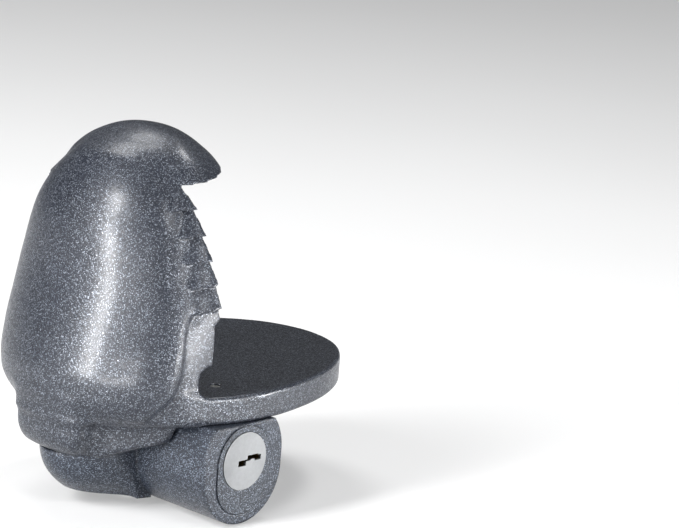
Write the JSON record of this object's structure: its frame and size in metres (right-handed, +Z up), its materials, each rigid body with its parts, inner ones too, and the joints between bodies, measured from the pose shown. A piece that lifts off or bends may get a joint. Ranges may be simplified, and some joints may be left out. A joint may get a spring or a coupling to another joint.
{
  "type": "trailer coupler lock",
  "caption": "Cast hood that wraps a trailer coupler's nose, with a ball post that rises into the socket and ratchets locked, released by a key cylinder below.",
  "frame": {"origin": "on the ball post's axis, in the plane of the shelf's top, where the coupler's flange rests", "axes": "+X is the key side, -Y the front of the hood, +Z up along the ball post"},
  "size_m": [0.0766, 0.1036, 0.1014],
  "materials": {
    "hammertone_hood": "dark grey metallic-fleck powder coat, satin",
    "hammertone_housing": "dark grey metallic-fleck powder coat, satin",
    "hammertone_cylinder": "dark grey metallic-fleck powder coat, satin",
    "bright_cap": "fine brushed nickel plate",
    "post_steel": "turned and hardened steel, satin",
    "zinc": "bare zinc die casting, matt",
    "plated_steel": "zinc-plated steel",
    "black_oxide": "black oxide steel screws",
    "brass": "machined brass",
    "spring_steel": "drawn spring wire",
    "rubber": "moulded black rubber"
  },
  "bodies": {
    "hood": {"hood_shell": "hammertone_hood", "lock_housing": "hammertone_housing", "guide_block": "zinc", "housing_screws": "black_oxide", "dowel_pins": "plated_steel", "stop_pin": "plated_steel", "post_wiper": "rubber", "cylinder_shell": "hammertone_cylinder", "guard_pins": "plated_steel", "cylinder_retaining_pin": "plated_steel", "pawl_spring": "spring_steel"},
    "post": {"ball_post": "post_steel"},
    "pawl": {"locking_pawl": "plated_steel", "spring_seat": "plated_steel"},
    "plug": {"key_plug": "brass", "plug_face_cap": "bright_cap", "wafer_tumblers": "brass", "wafer_springs": "spring_steel", "cam_disc": "plated_steel", "cam_pin": "plated_steel", "cam_rivets": "brass"}
  },
  "joints": [
    {"name": "post_slide", "type": "slide", "parent": "hood", "child": "post", "axis": [0, 0, 1], "range_m": [-0.024, 0]},
    {"name": "plug_turn", "type": "hinge", "parent": "hood", "child": "plug", "pos_m": [0.03, 0, -0.0175], "axis": [-1, 0, 0], "range_deg": [0, 90]},
    {"name": "pawl_slide", "type": "slide", "parent": "hood", "child": "pawl", "axis": [0, -1, 0], "range_m": [0, 0.003], "deforming": ["pawl_spring"]}
  ],
  "couplings": [
    {"joint": "pawl_slide", "follows": "plug_turn", "m_per_rad": 0.0019}
  ]
}
